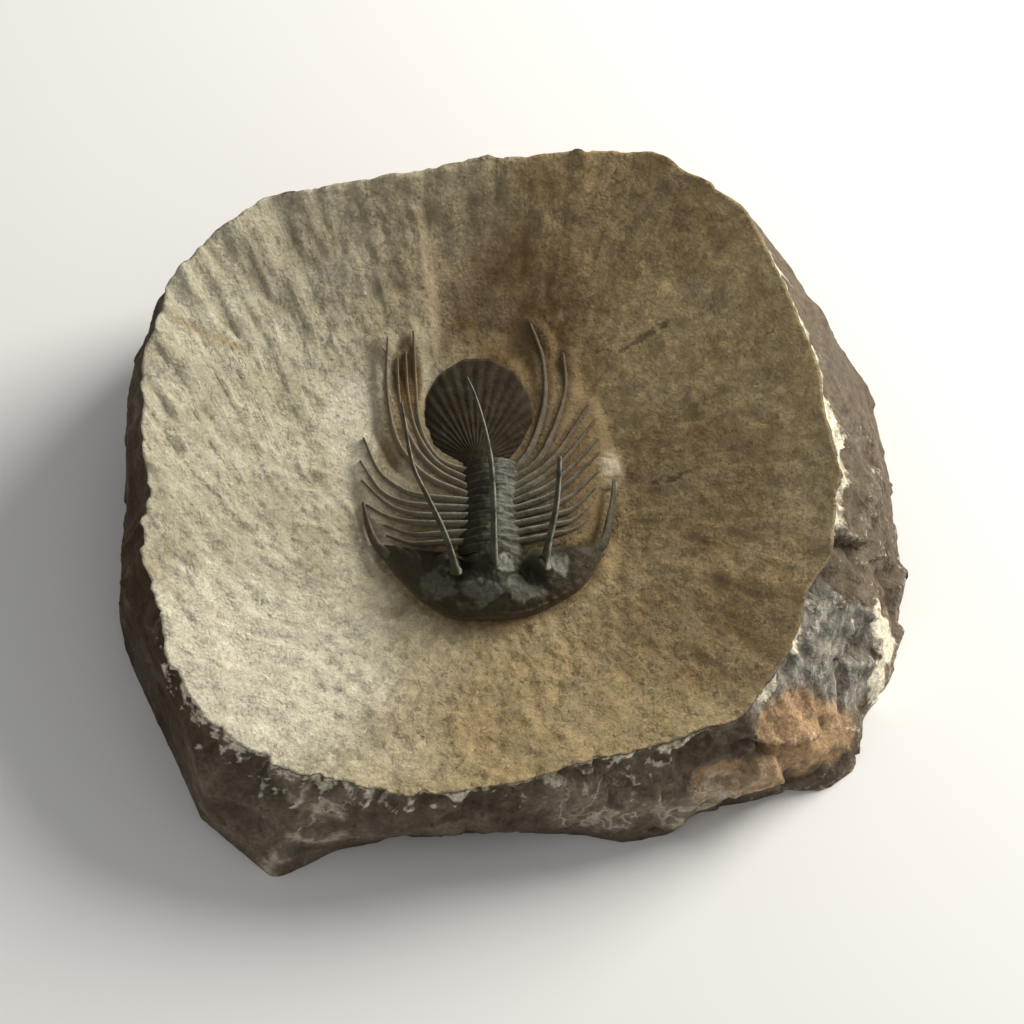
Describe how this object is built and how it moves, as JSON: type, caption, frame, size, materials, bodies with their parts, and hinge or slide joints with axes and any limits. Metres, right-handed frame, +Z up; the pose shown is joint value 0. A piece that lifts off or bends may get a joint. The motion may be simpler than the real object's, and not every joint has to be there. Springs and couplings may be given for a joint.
{
  "type": "trilobite fossil in a dished limestone block",
  "caption": "Spiny trilobite fossil with free-standing spines and a ribbed fan tail, lying in a dished hollow worked into a rough block of tan limestone",
  "frame": {"origin": "middle of the block's flat underside", "axes": "+Z up out of the hollow, -Y where the trilobite's head points and the rim is lowest, +X to the right seen from there"},
  "size_m": [0.1231, 0.1122, 0.0361],
  "materials": {
    "limestone_matrix": "air-scribed pale tan inside the hollow, dark weathered and broken outside",
    "calcite_shell": "satin charcoal fossil shell"
  },
  "bodies": {
    "root": {"stone_matrix": "limestone_matrix", "trilobite": "calcite_shell"}
  },
  "joints": []
}
